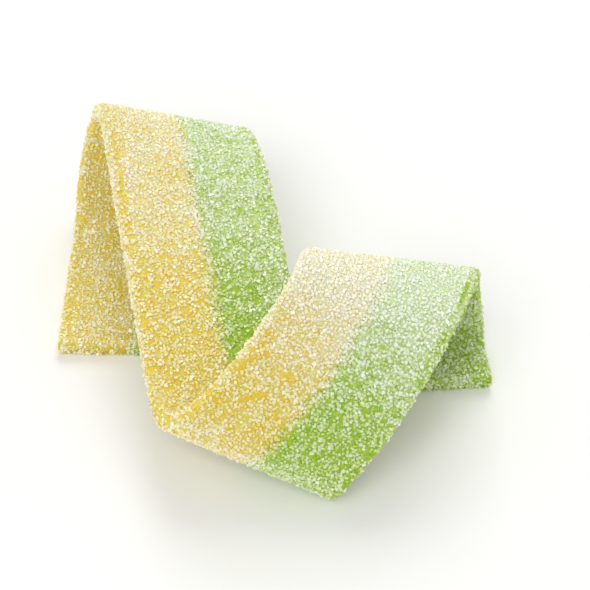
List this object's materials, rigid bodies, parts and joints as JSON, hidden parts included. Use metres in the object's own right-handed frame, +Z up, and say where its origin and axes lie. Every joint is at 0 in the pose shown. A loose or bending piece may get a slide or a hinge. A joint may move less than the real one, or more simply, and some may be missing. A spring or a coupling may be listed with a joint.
{
  "type": "pickle candy belt",
  "caption": "Two-tone yellow and green sugared sour candy belt, loosely folded over itself and lying on its cut ends.",
  "frame": {"origin": "middle of the belt's box, on the surface it lies on", "axes": "+Z up, the front fold looks towards -Y, the yellow band is on the left (-X) of the long slope"},
  "size_m": [0.059, 0.0642, 0.0282],
  "materials": {
    "yellow_gel": "soft yellow gel under white sugar grains",
    "green_gel": "soft green gel under white sugar grains"
  },
  "bodies": {
    "root": {"yellow_band": "yellow_gel", "green_band": "green_gel"}
  },
  "joints": []
}
